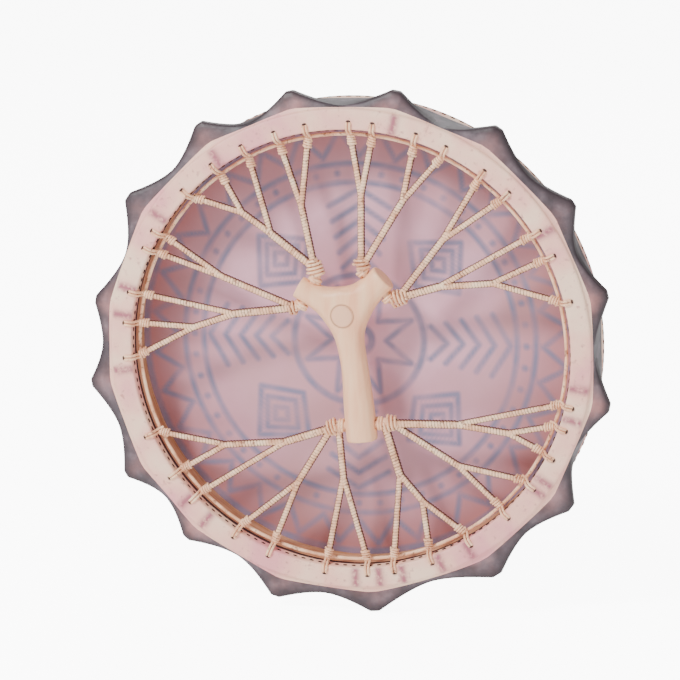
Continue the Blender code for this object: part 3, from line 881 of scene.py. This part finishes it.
def repeat_round_rim(name, shape_bm, angles, finish):
    shape_mesh = bpy.data.meshes.new(f"{name}_shape")
    shape_bm.to_mesh(shape_mesh)
    shape_bm.free()
    shape = bpy.data.objects.new(f"{name}_shape", shape_mesh)
    points_mesh = bpy.data.meshes.new(f"{name}_points")
    points_mesh.from_pydata([(0, 0, 0)] * len(angles), [], [])
    turns = points_mesh.attributes.new("turn", "FLOAT", "POINT")
    turns.data.foreach_set("value", [math.radians(angle) for angle in angles])
    points = bpy.data.objects.new(f"{name}_points", points_mesh)
    bpy.context.scene.collection.objects.link(points)
    bpy.context.scene.collection.objects.link(shape)
    repeat = points.modifiers.new("repeat", "NODES")
    repeat.node_group = RIM_TREE
    for item in RIM_TREE.interface.items_tree:
        if item.name == "Shape":
            repeat[item.identifier] = shape
        elif item.name == "Finish":
            repeat[item.identifier] = finish
    graph = bpy.context.evaluated_depsgraph_get()
    mesh = bpy.data.meshes.new_from_object(points.evaluated_get(graph))
    for helper in (points, shape):
        bpy.data.objects.remove(helper, do_unlink=True)
    mesh.shade_smooth()
    piece = bpy.data.objects.new(name, mesh)
    bpy.context.scene.collection.objects.link(piece)
    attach(piece, "root")
    print(f"{name}: {len(angles)} copies, {len(mesh.polygons)} faces")

# %% [markdown]
# Two strands come out of a hole in the hem at each thong, pass over the edge and round the cord,
# and end under the turns that are wound on the thong.

# %% Knots, holes and stitches
STRAND_RADIUS = 1.15 * MM
STRAND_OFFSET_MM = 1.5
# (radius, y) in millimetres, from the hole over the edge to under the coil
STRAND_STOPS = (
    (214, -28.3), (211, -29.4), (207.5, -29.2), (205, -26), (203.5, -21), (201.5, -18.5),
    (197, -17.8),
)
STITCHES = 160
STITCH_STEP = 360 / STITCHES


def strand_route(offset):
    return [(Vector((offset, y, radius)) * MM, STRAND_RADIUS) for radius, y in STRAND_STOPS]


def knot_shape():
    bm = bmesh.new()
    for offset in (-STRAND_OFFSET_MM, STRAND_OFFSET_MM):
        sweep(bm, strand_route(offset), grooved=False)
    return bm


def pill(length_mm, width_mm, radius_mm, y_mm):
    """A short rounded stitch at the top of the rim, lying along the rim."""
    bm = bmesh.new()
    bmesh.ops.create_uvsphere(bm, u_segments=10, v_segments=6, radius=MM / 2)
    for vert in bm.verts:
        x, y, z = vert.co
        vert.co = (x * length_mm, y * width_mm + y_mm * MM, z * width_mm + radius_mm * MM)
    return bm


SPOKES = [angle for angles, _, _, _ in BRANCHES.values() for angle in angles]
SEAM = [i * STITCH_STEP for i in range(STITCHES)]
BORE_SEAM = [angle + 1 for angle in SEAM]
# The hem's holes are dark pills of painted shade; the stitches are dark sinew.
for name, shape, angles, finish in (
    ("rim_knots", knot_shape(), SPOKES, THONG),
    ("hem_holes", pill(4.4, 2.2, 215, -28.2), SPOKES, DARK_SINEW_AND_SHADE),
    ("bore_stitches", pill(4.5, 1.3, 206.4, -22), BORE_SEAM, DARK_SINEW_AND_SHADE),
    ("front_stitches", pill(5, 1.2, 231.9, 20.5), SEAM, DARK_SINEW_AND_SHADE),
):
    repeat_round_rim(name, shape, angles, finish)

# %% [markdown]
# The studio is a pale floor under the drum and three soft lights. Floor and backdrop glow for the
# camera alone, by the Light Path node, so they look white but light the drum only faintly. The
# camera stands to the upper right of the axis, which shows the outside of the skirt on that side.

# %% Floor, light and camera
FLOOR_GAP = 1 * MM
WHITE_GLOW = 9.0
FLOOR_GLOW = 0.5
SKY_GLOW = 0.42
# Each light's place in metres, its power in watts and its size in metres
LIGHTS = (
    ("key", (-1.4, -1.9, 2.0), 110, 0.6),
    ("fill", (2.2, -2.0, 0.6), 22, 2.0),
    ("back", (0.0, 2.5, 2.0), 40, 2.0),
)


def make_studio():
    low = CAD_BOX[0][2] - FLOOR_GAP
    bpy.ops.mesh.primitive_plane_add(size=60, location=(0, 0, low))
    floor = bpy.context.object
    floor.name = "floor"
    material, tree, shader = new_material("pale_floor", 0.9)
    shader.inputs["Base Color"].default_value = colour("#FFFFFF")
    shader.inputs["Emission Color"].default_value = colour("#FFFFFF")
    ray = add(tree, "ShaderNodeLightPath").outputs["Is Camera Ray"]
    glow = span(tree, ray, 0, 1, FLOOR_GLOW, WHITE_GLOW)
    tree.links.new(glow, shader.inputs["Emission Strength"])
    floor.data.materials.append(material)
    world = bpy.data.worlds.new("studio")
    world.use_nodes = True
    world.node_tree.nodes["Background"].inputs["Color"].default_value = colour("#FFFFFF")
    tree = world.node_tree
    ray = add(tree, "ShaderNodeLightPath").outputs["Is Camera Ray"]
    strength = span(tree, ray, 0, 1, SKY_GLOW, WHITE_GLOW)
    tree.links.new(strength, tree.nodes["Background"].inputs["Strength"])
    bpy.context.scene.world = world
    for name, place, power, size in LIGHTS:
        data = bpy.data.lights.new(name, "AREA")
        data.energy = power
        data.size = size
        light = bpy.data.objects.new(name, data)
        light.location = place
        light.rotation_euler = (-Vector(place)).to_track_quat("-Z", "Y").to_euler()
        bpy.context.scene.collection.objects.link(light)


CAMERA_PLACE = Vector((0.5654, -2.9033, 0.6429))
CAMERA_WAY = Vector((-0.1910, 0.9587, -0.2107))
LENS_MM = 171.7
SENSOR_MM = 36


def make_camera():
    data = bpy.data.cameras.new("camera")
    data.lens = LENS_MM
    data.sensor_width = SENSOR_MM
    camera = bpy.data.objects.new("camera", data)
    camera.location = CAMERA_PLACE
    camera.rotation_euler = CAMERA_WAY.to_track_quat("-Z", "Y").to_euler()
    bpy.context.scene.collection.objects.link(camera)
    bpy.context.scene.camera = camera


make_studio()
make_camera()
